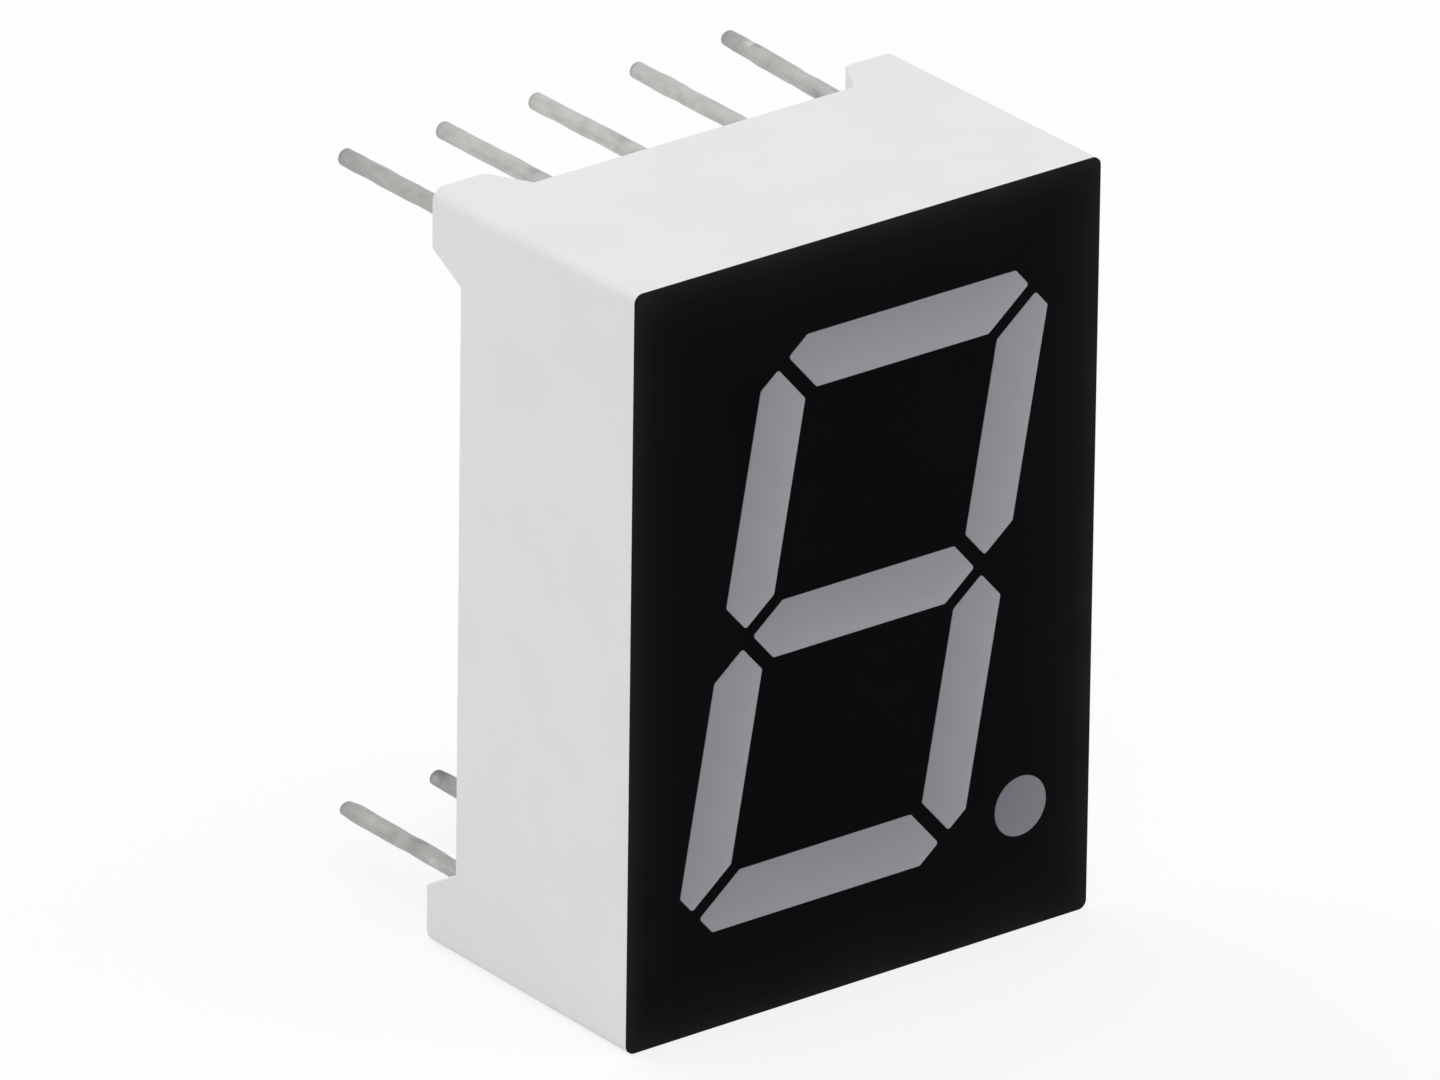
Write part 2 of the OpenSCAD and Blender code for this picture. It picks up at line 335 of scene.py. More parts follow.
pottingLook = {
    "colour": (0.50, 0.505, 0.515), "pale": (0.54, 0.542, 0.548), "cloud": (0.22, 2.0),
    "ripple": (0.9, 1.0), "rippleDepth": 0.012, "rough": (0.2, 0.3), "specular": 0.5,
}


def makePottingResin():
    look = pottingLook
    material, tree, shader = startMaterial("pottingResin")
    place = millimetreCoords(tree)
    cloud = addNoise(tree, place, *look["cloud"])
    ripple = addNoise(tree, place, *look["ripple"])
    setSockets(tree, shader, {
        "Base Color": blendColours(tree, cloud, look["colour"], look["pale"]),
        "Roughness": addRange(tree, cloud, *look["rough"]),
        "Normal": addBump(tree, ripple, look["rippleDepth"]),
        "Specular IOR Level": look["specular"],
    })
    return material


tinLook = {
    "colour": (0.546, 0.544, 0.529), "dull": (0.469, 0.471, 0.455),
    "stretch": (1, 0.45, 1), "runs": (4.5, 4.0, 0.6), "runSpan": (0.32, 0.62),
    "fine": (17.0, 3.0, 0.6), "fineDepth": 0.003, "rough": (0.5, 0.64),
}


def makeTin():
    look = tinLook
    material, tree, shader = startMaterial("dippedTin")
    place = millimetreCoords(tree, look["stretch"])  # runs drawn out along the pins
    runs = addNoise(tree, place, *look["runs"])
    fine = addNoise(tree, place, *look["fine"])
    body = blendColours(tree, runs, look["dull"], look["colour"], look["runSpan"])
    shade = tree.nodes.new("ShaderNodeVectorMath")
    shade.operation = "SCALE"
    tree.links.new(body, shade.inputs[0])
    tree.links.new(addAttribute(tree, "tone"), shade.inputs["Scale"])  # each pin's painted light and shade
    setSockets(tree, shader, {
        "Base Color": shade.outputs["Vector"],
        "Roughness": addRange(tree, fine, *look["rough"]),
        "Normal": addBump(tree, fine, look["fineDepth"]),
        "Metallic": 1.0,
    })
    return material


laminateLook = {
    "weave": 2.2, "weaveDepth": 0.004, "warp": (0.05, 0.14, 0.06), "weft": (0.06, 0.17, 0.075),
    "between": (0.04, 0.11, 0.05), "betweenSize": 0.03, "rough": 0.42,
}


def makeLaminate():
    look = laminateLook
    material, tree, shader = startMaterial("boardLaminate")
    weave = tree.nodes.new("ShaderNodeTexBrick")
    setSockets(tree, weave, {
        "Vector": millimetreCoords(tree), "Scale": look["weave"], "Mortar Size": look["betweenSize"],
        "Color1": (*look["warp"], 1), "Color2": (*look["weft"], 1), "Mortar": (*look["between"], 1),
    })
    setSockets(tree, shader, {
        "Base Color": weave.outputs["Color"],
        "Roughness": look["rough"],
        "Normal": addBump(tree, weave.outputs["Fac"], look["weaveDepth"]),
    })
    return material


metalLook = {
    "copperFoil": {"colour": (0.80, 0.42, 0.27), "dull": (0.62, 0.30, 0.18),
                   "stain": (3.0, 4.0, 0.6), "rough": (0.25, 0.4)},
    "solderAlloy": {"colour": (0.62, 0.62, 0.60), "dull": (0.45, 0.45, 0.44),
                    "stain": (5.0, 4.0, 0.6), "rough": (0.18, 0.35)},
    "bondWireGold": {"colour": (0.90, 0.68, 0.30), "dull": (0.80, 0.55, 0.22),
                     "stain": (20.0, 4.0, 0.6), "rough": (0.15, 0.25)},
    "stainSpan": (0.35, 0.65), "stainDepth": 0.002,
}


def makeMetal(name):
    look = metalLook[name]
    material, tree, shader = startMaterial(name)
    stain = addNoise(tree, millimetreCoords(tree), *look["stain"])
    setSockets(tree, shader, {
        "Base Color": blendColours(tree, stain, look["dull"], look["colour"], metalLook["stainSpan"]),
        "Roughness": addRange(tree, stain, *look["rough"]),
        "Normal": addBump(tree, stain, metalLook["stainDepth"]),
        "Metallic": 1.0,
    })
    return material


crystalLook = {
    "deep": (0.16, 0.13, 0.06), "pale": (0.30, 0.22, 0.09), "bands": (14.0, 1.0), "bandSpan": (0.4, 0.6),
    "rough": (0.12, 0.25),
}


def makeCrystal():
    look = crystalLook
    material, tree, shader = startMaterial("dieCrystal")
    bands = addNoise(tree, millimetreCoords(tree), *look["bands"])
    setSockets(tree, shader, {
        "Base Color": blendColours(tree, bands, look["deep"], look["pale"], look["bandSpan"]),
        "Roughness": addRange(tree, bands, *look["rough"]),
    })
    return material


whitePlastic = makeWhitePlastic()
blackInk = makeBlackInk()
barResin = makeDiffuserResin("greyBarResin", resinLook["bar"])
shadedPointResin = makeDiffuserResin("greyPointResinInShade", resinLook["point"])
pottingResin = makePottingResin()
dippedTin = makeTin()
innerFinishes = {  # for the pieces that keep their solids, by how their names begin
    "circuit_board": makeLaminate(),
    "copper_tracks": makeMetal("copperFoil"),
    "solder_joints": makeMetal("solderAlloy"),
    "led_die": makeCrystal(),
    "bond_wire": makeMetal("bondWireGold"),
}
for name, node in nodes.items():
    for start, finish in innerFinishes.items():
        if name.startswith(start):
            node.data.materials.clear()
            node.data.materials.append(finish)
print("finishes made")


# the light wells: each lamp's window in the face and how it narrows towards the board

windowShape = {"cornerRadius": 0.08, "cornerSteps": 5, "pointSteps": 96, "lip": 0.012, "levelSlack": 0.001}
faceY, copperY = (corner.y for corner in boxOf("segment_a"))
lampNodes = {name: "segment_" + name for name in ("a", "b", "c", "d", "e", "f", "g")}
lampNodes["point"] = "decimal_point"


def readWell(node):  # the front's points and box, and the centre and share that the rear end shrinks to
    points = [v.co / mm for v in nodes[node].data.vertices]
    front = [p for p in points if p.y < faceY + windowShape["levelSlack"]]
    rear = [p for p in points if p.y > copperY - windowShape["levelSlack"]]
    frontLow, frontHigh = (Vector((f(p.x for p in front), f(p.z for p in front))) for f in (min, max))
    rearLow, rearHigh = (Vector((f(p.x for p in rear), f(p.z for p in rear))) for f in (min, max))
    share = (rearHigh.y - rearLow.y) / (frontHigh.y - frontLow.y)
    centre = (rearLow - frontLow * share) / (1 - share)
    return front, (frontLow, frontHigh), {"centre": centre, "share": share}


def readBar(node):
    front, (low, high), well = readWell(node)
    middle = (low + high) / 2
    corners = {(round(p.x, 4), round(p.z, 4)) for p in front}
    ordered = sorted(corners, key=lambda p: math.atan2(p[1] - middle.y, p[0] - middle.x))
    outline = roundedPath(ordered, windowShape["cornerRadius"], windowShape["cornerSteps"], closed=True)
    return {**well, "outline": outline}


def readPoint(node):
    _, (low, high), well = readWell(node)
    return {**well, "outline": circleAt((low + high) / 2, (high.y - low.y) / 2, windowShape["pointSteps"])}


def wellAt(well, y, grow=0.0):  # the outline at a level along Y, grown sideways
    share = 1 + (well["share"] - 1) * (y - faceY) / (copperY - faceY)
    flat = [well["centre"] + (p - well["centre"]) * share for p in well["outline"]]
    if not grow:
        return flat
    grown = []
    for k, p in enumerate(flat):
        way = (flat[(k + 1) % len(flat)] - flat[k - 1]).normalized()
        grown.append(p + Vector((way.y, -way.x)) * grow)  # outlines run counter-clockwise
    return grown


wells = {name: readPoint(node) if name == "point" else readBar(node) for name, node in lampNodes.items()}
print("wells read:", ", ".join(wells))


# the housing: a wall section carried around the outline, a foot at each corner, and the reflector block

housingShape = {
    "wall": 0.65, "corner": 0.3, "faceCorner": 0.2, "innerCorner": 0.12, "arcSteps": 8,
    "footLength": 1.36, "footFlank": 0.56, "footEnd": 0.9, "footCorner": 0.07, "footCornerSteps": 4,
    "rim": -1.0, "edge": 0.045, "edgeSteps": 4, "support": 0.02, "frontSupport": 0.03,
    "troughIn": 7.07, "troughOut": 8.08, "troughSide": 5.53, "troughDepth": 0.55,
    "past": 0.05,  # how far the cutters reach beyond the block
}


def rimHalf(half):  # places along one wall from its middle outwards, with the rim's level at each
    shape = housingShape
    footStart = half - shape["footLength"]
    path = [(0, shape["rim"]), (footStart - shape["footFlank"], shape["rim"]),
            (footStart, 0), (half - shape["footEnd"], 0)]
    return [(p.x, p.y) for p in roundedPath(path, shape["footCorner"], shape["footCornerSteps"])]


def wallColumns(halfW, halfH):
    sides = [((0, 1), (1, 0), halfW, halfH), ((1, 0), (0, -1), halfH, halfW),
             ((0, -1), (-1, 0), halfW, halfH), ((-1, 0), (0, 1), halfH, halfW)]
    steps = housingShape["arcSteps"]
    columns = []
    for out, along, half, reach in sides:
        right = rimHalf(half)
        side = [(-t, level) for t, level in reversed(right[1:])] + right
        common = {"out": Vector(out), "along": Vector(along), "half": half, "reach": reach, "level": 0.0}
        columns.append({**common, "end": -1})
        columns += [{**common, "t": t, "level": level} for t, level in side]
        columns.append({**common, "end": 1})
        columns += [{**common, "turn": math.pi / 2 * k / steps} for k in range(steps + 1)]
    return columns


def columnPoint(column, inset, radius):
    out, along = column["out"], column["along"]
    reach, straight = column["reach"] - inset, column["half"] - inset - radius
    if "t" in column:
        return along * column["t"] + out * reach
    if "end" in column:  # a support beside the corner's arc keeps the flat wall flat in the light
        return along * column["end"] * (straight - housingShape["support"]) + out * reach
    turn = column["turn"]
    return along * (straight + radius * math.sin(turn)) + out * (reach - radius + radius * math.cos(turn))


def makeHousing():
    low, high = boxOf("housing")
    shape = housingShape
    edge, support, wall = shape["edge"], shape["support"], shape["wall"]
    columns = wallColumns(high.x, high.z)
    turns = [math.pi / 2 * k / shape["edgeSteps"] for k in range(shape["edgeSteps"] + 1)]
    rimSection = [(0, -edge - support)]  # inset from the outside, and level beside the rim's own
    rimSection += [(edge * (1 - math.cos(a)), -edge * (1 - math.sin(a))) for a in turns]
    rimSection += [(edge + support, 0), (wall - edge - support, 0)]
    rimSection += [(wall - edge * (1 - math.sin(a)), -edge * (1 - math.cos(a))) for a in turns]
    rimSection.append((wall, -edge - support))

    def radiusAt(inset):
        return shape["corner"] - inset if inset < wall / 2 else shape["innerCorner"] + wall - inset

    bm = bmesh.new()
    outline = [columnPoint(c, 0, shape["faceCorner"]) for c in columns]
    loops = [addLoop(bm, outline, y) for y in (low.y, low.y + shape["frontSupport"])]
    for inset, drop in rimSection:
        outline = [columnPoint(c, inset, radiusAt(inset)) for c in columns]
        loops.append(addLoop(bm, outline, [c["level"] + drop for c in columns]))
    loops.append(addLoop(bm, [columnPoint(c, wall, shape["innerCorner"]) for c in columns], copperY))
    joinLoops(bm, loops)
    bm.faces.new(loops[0])
    bm.faces.new(loops[-1])
    return makePiece("housing_shell", bm, whitePlastic)


def makeHousingCutter():  # the wells and the room for the solder along each row of pins
    shape = housingShape
    bm = bmesh.new()
    for well in wells.values():
        addPlug(bm, [(wellAt(well, y), y) for y in (faceY - shape["past"], copperY + shape["past"])])
    for side in (-1, 1):
        x, zIn, zOut = shape["troughSide"], side * shape["troughIn"], side * shape["troughOut"]
        flat = [(-x, zIn), (x, zIn), (x, zOut), (-x, zOut)]
        addPlug(bm, [(flat, y) for y in (copperY - shape["troughDepth"], copperY + shape["past"])])
    return makePiece("wellCutter", bm, whitePlastic)


def cutAway(piece, cutter):
    modifier = piece.modifiers.new("wells", "BOOLEAN")
    modifier.operation = "DIFFERENCE"
    modifier.solver = "EXACT"
    modifier.object = cutter
    applyModifiers(piece)
    bpy.data.objects.remove(cutter)


housing = makeHousing()
cutAway(housing, makeHousingCutter())
tidyMesh(housing)
settle(housing, "white_plastic", "housing")
print("housing moulded")


# the black ink on the face, with its eight windows

inkShape = {"edge": 0.02, "edgeSteps": 3}


def makeInk():
    low, high = boxOf("face_print")
    corner, lip = housingShape["faceCorner"], windowShape["lip"]
    edge, steps = inkShape["edge"], inkShape["edgeSteps"]
    box = [(-high.x, -high.z), (high.x, -high.z), (high.x, high.z), (-high.x, high.z)]

    def outer(inset):
        inner = [(x - math.copysign(inset, x), z - math.copysign(inset, z)) for x, z in box]
        return roundedPath(inner, corner - inset, housingShape["arcSteps"], closed=True)

    bm = bmesh.new()
    loops = [addLoop(bm, outer(0), high.y)]
    for a in (math.pi / 2 * k / steps for k in range(steps + 1)):
        loops.append(addLoop(bm, outer(edge * (1 - math.cos(a))), low.y + edge * (1 - math.sin(a))))
    joinLoops(bm, loops)
    back, front = ringEdges(bm, loops[0]), ringEdges(bm, loops[-1])
    for well in wells.values():
        rings = [addLoop(bm, wellAt(well, high.y), high.y),
                 addLoop(bm, wellAt(well, low.y + lip), low.y + lip),
                 addLoop(bm, wellAt(well, low.y, lip), low.y)]
        joinLoops(bm, rings)
        back += ringEdges(bm, rings[0])
        front += ringEdges(bm, rings[-1])
    for edges, normal in ((back, (0, 1, 0)), (front, (0, -1, 0))):
        bmesh.ops.triangle_fill(bm, use_beauty=True, use_dissolve=False, edges=edges, normal=normal)
    piece = makePiece("face_ink", bm, blackInk)
    tidyMesh(piece)
    return piece


settle(makeInk(), "black_print", "face_print")
print("face printed")


# the diffusers: plugs of grey resin, flush with the ink

glowShape = {
    "grid": 0.12, "clear": 0.06, "ways": 8, "farthest": 10.0, "parallel": 1e-9, "slack": 1e-6,
    "way": (0.807, -0.591),  # towards the wall that catches the light
    "fade": 1.05, "back": 0.85, "level": 0.426, "span": 0.676, "inward": 0.03,
}


def reachTo(point, way, outline):  # how far it is from a point inside the outline to the outline, along way
    nearest, slack = glowShape["farthest"], glowShape["slack"]
    for k, end in enumerate(outline):
        side = end - outline[k - 1]
        turn = way.cross(side)
        if abs(turn) > glowShape["parallel"]:
            toStart = outline[k - 1] - point
            ahead, share = toStart.cross(side) / turn, toStart.cross(way) / turn
            if ahead >= 0 and -slack <= share <= 1 + slack:
                nearest = min(nearest, ahead)
    return nearest


def frontPoints(outline):  # a grid of points inside the outline, so that the glow can follow the surface
    (lowX, lowZ), (highX, highZ) = [(f(p.x for p in outline), f(p.y for p in outline)) for f in (min, max)]
    ways = [Vector((math.cos(a), math.sin(a))) for a in turnsAround(glowShape["ways"])]
    grid = glowShape["grid"]
    inside = []
    for i in range(int((highX - lowX) / grid) + 1):
        for k in range(int((highZ - lowZ) / grid) + 1):
            p = Vector((lowX + (i + 0.5) * grid, lowZ + (k + 0.5) * grid))
            reaches = [reachTo(p, way, outline) for way in ways]
            if glowShape["clear"] < min(reaches) and max(reaches) < glowShape["farthest"]:
                inside.append(p)
    return inside


def makeDiffuser(name, well):
    lip = windowShape["lip"]
    bm = bmesh.new()
    glow = bm.verts.layers.float.new("wallGlow")  # painted light from the well wall that catches the light
    outline = wellAt(well, faceY, -lip)
    rings = [addLoop(bm, outline, faceY),
             addLoop(bm, wellAt(well, faceY + lip), faceY + lip),
             addLoop(bm, wellAt(well, copperY), copperY)]
    joinLoops(bm, rings)
    bm.faces.new(rings[-1])
    inner = frontPoints(outline)
    flat, count = outline + inner, len(outline)
    front = rings[0] + addLoop(bm, inner, faceY)
    rim = [(k, (k + 1) % count) for k in range(count)]
    _, _, faces, original, *_ = delaunay_2d_cdt(flat, rim, [], 1, glowShape["slack"])
    for face in faces:
        bm.faces.new([front[original[k][0]] for k in face])
    middle, way = sum(outline, Vector((0, 0))) / count, Vector(glowShape["way"])
    for vert, p in zip(front, flat):
        p = p + (middle - p) * glowShape["inward"]
        near, far = (math.exp(-reachTo(p, w, outline) / glowShape["fade"]) for w in (way, -way))
        # painted light near the lit wall, painted shade near the far one
        vert[glow] = glowShape["level"] + glowShape["span"] * (near - glowShape["back"] * far)
    for k, vert in enumerate(rings[1]):
        vert[glow] = rings[0][k][glow]
    return makePiece("diffuser_" + name, bm, shadedPointResin if name == "point" else barResin)


for name, well in wells.items():
    settle(makeDiffuser(name, well), "diffuser_resin", lampNodes[name])
print("diffusers cast")


# the pins: one turned pin, set out in two rows by Geometry Nodes, with lumps where the tin ran

pinShape = {
    "pitch": 2.54, "rowGap": 15.24, "columns": 5,
    "coreRadius": 0.19, "radius": 0.2, "tinFrom": -1.1, "tinFull": -0.8, "sides": 32, "ringStep": 0.12,
    "rearShare": 0.8, "rearTaper": 0.04, "tipRadius": 0.055, "tipSteps": 5, "tipFlat": 0.45, "sharpFrom": 60,
    "lump": 0.06, "lumpSize": 1.3, "lumpDetail": 2.0, "seed": 7,
    "lumpRise": 0.4, "lumpFade": 0.5, "lumpEnd": 0.15,  # mm from where the tin begins, and mm before the tip
    "bendFrom": -0.9, "bendTo": 1.2, "leanPower": 1.3, "pinchFrom": 3.95, "darkFrom": 3.4, "darkTo": 4.2,
    "rimFrom": 4.33, "rimTo": 4.46, "rimDark": 0.2, "floorBounceGain": 0.18,
}
# bend and lean: mm sideways and up, the first early on and the second growing to the tip
# tone: each pin's brightness, painted to the light and shade that fell on it; dark and pinch: the shares lost
# at the tip, dark to painted shade and pinch in width; cut: mm clipped off the tip
# spots of painted light and shade: degrees around the pin, place along it, reach in mm and the share of light
# gained, a painted glint where it is gained and painted shade where it is lost
pinTraits = {
    1: {"bend": (0.045, 0.068), "lean": (0.0, 0.0), "tone": 0.80, "dark": 0.1, "pinch": 0.2, "cut": 0.14,
        "stains": [(125, 3.3, 0.17, 0.16), (159, 2.5, 0.24, -0.16),
                   (107, 1.75, 0.4, -0.2), (171, 1.05, 0.18, 0.24)]},
    2: {"bend": (0.025, 0.04), "lean": (0.005, 0.01), "tone": 0.66, "dark": 0.05, "pinch": 0.12, "cut": 0.0,
        "stains": [(70, 4.25, 0.45, -0.45), (160, 4.3, 0.18, 0.5)]},
    3: {"bend": (-0.02, 0.01), "lean": (0.02, 0.0), "tone": 0.85, "dark": 0.05, "pinch": 0.1, "cut": 0.0,
        "stains": [(200, 2.9, 0.3, -0.12)]},
    4: {"bend": (0.0, 0.02), "lean": (-0.02, 0.03), "tone": 0.93, "dark": 0.1, "pinch": 0.05, "cut": 0.0,
        "stains": [(80, 1.9, 0.3, -0.15)]},
    5: {"bend": (0.02, 0.0), "lean": (0.02, -0.02), "tone": 0.88, "dark": 0.05, "pinch": 0.1, "cut": 0.0,
        "stains": []},
    6: {"bend": (0.012, 0.018), "lean": (0.085, 0.118), "tone": 0.87, "dark": 0.14, "pinch": 0.15, "cut": 0.0,
        "stains": [(105, 3.65, 0.18, 0.42), (72, 3.45, 0.2, -0.45),
                   (143, 1.7, 0.45, 0.1), (200, 1.05, 0.26, -0.3)]},
    7: {"bend": (0.05, 0.07), "lean": (0.011, 0.016), "tone": 0.97, "dark": 0.02, "pinch": 0.05, "cut": 0.14,
        "stains": [(200, 2.5, 0.25, -0.12), (215, 1.2, 0.3, -0.1)]},
    8: {"bend": (0.0, 0.0), "lean": (-0.012, -0.018), "tone": 0.99, "dark": 0.0, "pinch": 0.0, "cut": 0.0,
        "stains": [(75, 1.4, 0.4, -0.22)]},
    9: {"bend": (0.0, 0.0), "lean": (-0.006, -0.01), "tone": 0.96, "dark": 0.1, "pinch": 0.0, "cut": 0.08,
        "stains": [(75, 1.15, 0.4, -0.25)]},
    10: {"bend": (0.0, 0.0), "lean": (-0.006, -0.008), "tone": 0.82, "dark": 0.15, "pinch": 0.0, "cut": 0.0,
         "stains": []},
}
pinNames = {number: "pin_%d" % number for number in pinTraits}
pinPlaces = {number: sum(boxOf(name), Vector()).xz / 2 for number, name in pinNames.items()}
pinRear, pinTip = (corner.y for corner in boxOf("pin_1"))


def makePinBlank():
    shape = pinShape
    core, full, tip = shape["coreRadius"], shape["radius"], shape["tipRadius"]
    start, tipStart = pinRear + shape["rearTaper"], pinTip - tip
    profile = [(shape["rearShare"] * core, pinRear), (core, start)]
    count = int((tipStart - pinRear) / shape["ringStep"])
    for k in range(1, count + 1):
        y = start + (tipStart - start) * k / count
        share = min(1, max(0, (y - shape["tinFrom"]) / (shape["tinFull"] - shape["tinFrom"])))
        profile.append((core + (full - core) * share, y))
    for k in range(1, shape["tipSteps"] + 1):
        a = math.pi / 2 * k / shape["tipSteps"]
        profile.append((full - tip + tip * math.cos(a), tipStart + tip * math.sin(a)))
    profile.append((shape["tipFlat"] * (full - tip), pinTip))
    turns = turnsAround(shape["sides"])
    bm = bmesh.new()
    rings = [addLoop(bm, [(r * math.cos(a), r * math.sin(a)) for a in turns], y) for r, y in profile]
    joinLoops(bm, rings)
    for ring, y in ((rings[0], pinRear), (rings[-1], pinTip)):
        pole = bm.verts.new((0, y * mm, 0))
        for k in range(len(ring)):
            bm.faces.new((ring[k - 1], ring[k], pole))
    return makePiece("pin_rows", bm, dippedTin, shape["sharpFrom"])


def addSocket(tree, name, kind, direction="INPUT"):
    return tree.interface.new_socket(name=name, in_out=direction, socket_type="NodeSocket" + kind)


def buildPinTree(kinds):  # kinds: the kind of each named input, besides the pin itself
    tree = bpy.data.node_groups.new("pinRows", "GeometryNodeTree")
    addSocket(tree, "Blank", "Geometry")
    sockets = {name: addSocket(tree, name, kind) for name, kind in kinds.items()}
    addSocket(tree, "Geometry", "Geometry", "OUTPUT")
    new, link = tree.nodes.new, tree.links.new
    given, result = new("NodeGroupInput"), new("NodeGroupOutput")

    grid = new("GeometryNodeMeshGrid")  # a point for each pin, laid out flat and then turned upright
    link(given.outputs["Columns"], grid.inputs["Vertices X"])
    grid.inputs["Vertices Y"].default_value = 2
    spans = addMath(tree, "SUBTRACT", given.outputs["Columns"], 1)
    link(addMath(tree, "MULTIPLY", spans, given.outputs["Pitch"]), grid.inputs["Size X"])
    link(given.outputs["Row Gap"], grid.inputs["Size Y"])
    upright = new("GeometryNodeTransform")
    upright.inputs["Rotation"].default_value = (math.pi / 2, 0, 0)
    link(grid.outputs["Mesh"], upright.inputs["Geometry"])
    spin = new("FunctionNodeRandomValue")  # each pin is turned about its own axis
    spin.data_type = "FLOAT_VECTOR"
    spin.inputs[0].default_value = (0, 0, 0)
    spin.inputs[1].default_value = (0, 2 * math.pi, 0)
    link(given.outputs["Seed"], spin.inputs["Seed"])
    place = new("GeometryNodeInstanceOnPoints")
    link(upright.outputs["Geometry"], place.inputs["Points"])
    link(given.outputs["Blank"], place.inputs["Instance"])
    link(spin.outputs[0], place.inputs["Rotation"])
    real = new("GeometryNodeRealizeInstances")
    link(place.outputs["Instances"], real.inputs["Geometry"])

    position, normal = new("GeometryNodeInputPosition"), new("GeometryNodeInputNormal")
    split = new("ShaderNodeSeparateXYZ")
    link(position.outputs["Position"], split.inputs["Vector"])
    lumps = new("ShaderNodeTexNoise")
    link(position.outputs["Position"], lumps.inputs["Vector"])
    link(given.outputs["Lump Scale"], lumps.inputs["Scale"])
    link(given.outputs["Lump Detail"], lumps.inputs["Detail"])
    rise, fall = new("ShaderNodeMapRange"), new("ShaderNodeMapRange")  # no lumps on bare wire, nor at the tip
    for ramp, none, full in ((rise, "Tin From", "Lumps Full"), (fall, "Lumps End", "Lumps Fade")):
        link(split.outputs["Y"], ramp.inputs["Value"])
        link(given.outputs[none], ramp.inputs["From Min"])
        link(given.outputs[full], ramp.inputs["From Max"])
    mask = addMath(tree, "MULTIPLY", rise.outputs["Result"], fall.outputs["Result"])
    centred = addMath(tree, "SUBTRACT", lumps.outputs["Fac"], 0.5)
    height = addMath(tree, "MULTIPLY", addMath(tree, "MULTIPLY", centred, given.outputs["Lump Height"]), mask)
    push = new("ShaderNodeVectorMath")
    push.operation = "SCALE"
    link(normal.outputs["Normal"], push.inputs[0])
    link(height, push.inputs["Scale"])
    move = new("GeometryNodeSetPosition")
    link(real.outputs["Geometry"], move.inputs["Geometry"])
    link(push.outputs["Vector"], move.inputs["Offset"])
    finish = new("GeometryNodeSetMaterial")
    link(move.outputs["Geometry"], finish.inputs["Geometry"])
    link(given.outputs["Finish"], finish.inputs["Material"])
    link(finish.outputs["Geometry"], result.inputs["Geometry"])
    return tree, sockets


def setPins(piece):
    shape = pinShape
    inputs = {
        "Pitch": ("Float", shape["pitch"] * mm), "Row Gap": ("Float", shape["rowGap"] * mm),
        "Columns": ("Int", shape["columns"]), "Seed": ("Int", shape["seed"]),
        "Tin From": ("Float", shape["tinFrom"] * mm), "Lump Height": ("Float", shape["lump"] * mm),
        "Lump Scale": ("Float", shape["lumpSize"] / mm), "Lump Detail": ("Float", shape["lumpDetail"]),
        "Lumps Full": ("Float", (shape["tinFrom"] + shape["lumpRise"]) * mm),
        "Lumps Fade": ("Float", (pinTip - shape["lumpFade"]) * mm),
        "Lumps End": ("Float", (pinTip - shape["lumpEnd"]) * mm),
        "Finish": ("Material", dippedTin),
    }
    tree, sockets = buildPinTree({name: kind for name, (kind, _) in inputs.items()})
    modifier = piece.modifiers.new("rows", "NODES")
    modifier.node_group = tree
    for name, (_, value) in inputs.items():
        modifier[sockets[name].identifier] = value
    applyModifiers(piece)
    bpy.data.node_groups.remove(tree)


def easeBetween(value, start, end):
    share = min(1, max(0, (value - start) / (end - start)))
    return share * share * (3 - 2 * share)


def pinPaintedLight(point, place, traits):  # the painted light and shade on the tin at a point of the pin that stands at place
    shape, tone = pinShape, traits["tone"]
    # painted glints and painted shade, each a spot on the pin
    for way, along, reach, gain in traits["stains"]:
        a = math.radians(way)
        side = shape["radius"] * Vector((math.cos(a), math.sin(a)))
        spot = Vector((place.x + side.x, along, place.y + side.y))
        tone *= 1 + gain * (1 - easeBetween((point - spot).length, 0, reach))
    tone *= 1 + shape["floorBounceGain"] * (1 - (point.z - place.y) / shape["radius"]) / 2  # painted light bounced up from the floor, brighter underneath
    # painted shade towards the tip, and a band of it at the very end
    tone *= 1 - traits["dark"] * easeBetween(point.y, shape["darkFrom"], shape["darkTo"])
    return tone * (1 - shape["rimDark"] * easeBetween(point.y, shape["rimFrom"], shape["rimTo"]))


def wearPins(piece):  # no two pins left the tin bath alike: each has its own bends and tip, and its own painted light and shade
    shape = pinShape
    bm = bmesh.new()
    bm.from_mesh(piece.data)
    # the tone layer holds each point's painted light and shade
    tone = bm.verts.layers.float.new("tone")
    for vert in bm.verts:
        x, y, z = vert.co / mm
        number = min(pinPlaces, key=lambda n: (pinPlaces[n] - Vector((x, z))).length)
        traits, place = pinTraits[number], pinPlaces[number]
        vert[tone] = pinPaintedLight(Vector((x, y, z)), place, traits)
        atTip = easeBetween(y, shape["pinchFrom"], pinTip)
        bent = easeBetween(y, shape["bendFrom"], shape["bendTo"])
        leant = max(0, (y - shape["bendFrom"]) / (pinTip - shape["bendFrom"])) ** shape["leanPower"]
        z = place.y + (z - place.y) * (1 - traits["pinch"] * atTip)
        x += traits["bend"][0] * bent + traits["lean"][0] * leant
        z += traits["bend"][1] * bent + traits["lean"][1] * leant
        vert.co = Vector((x, y - traits["cut"] * atTip, z)) * mm
    bm.to_mesh(piece.data)
    bm.free()


pins = makePinBlank()
setPins(pins)
wearPins(pins)
tidyMesh(pins, pinShape["sharpFrom"])
settle(pins, "tinned_pin", *pinNames.values())
print("pins set out")


# the potting: resin that creeps up the walls and the pins

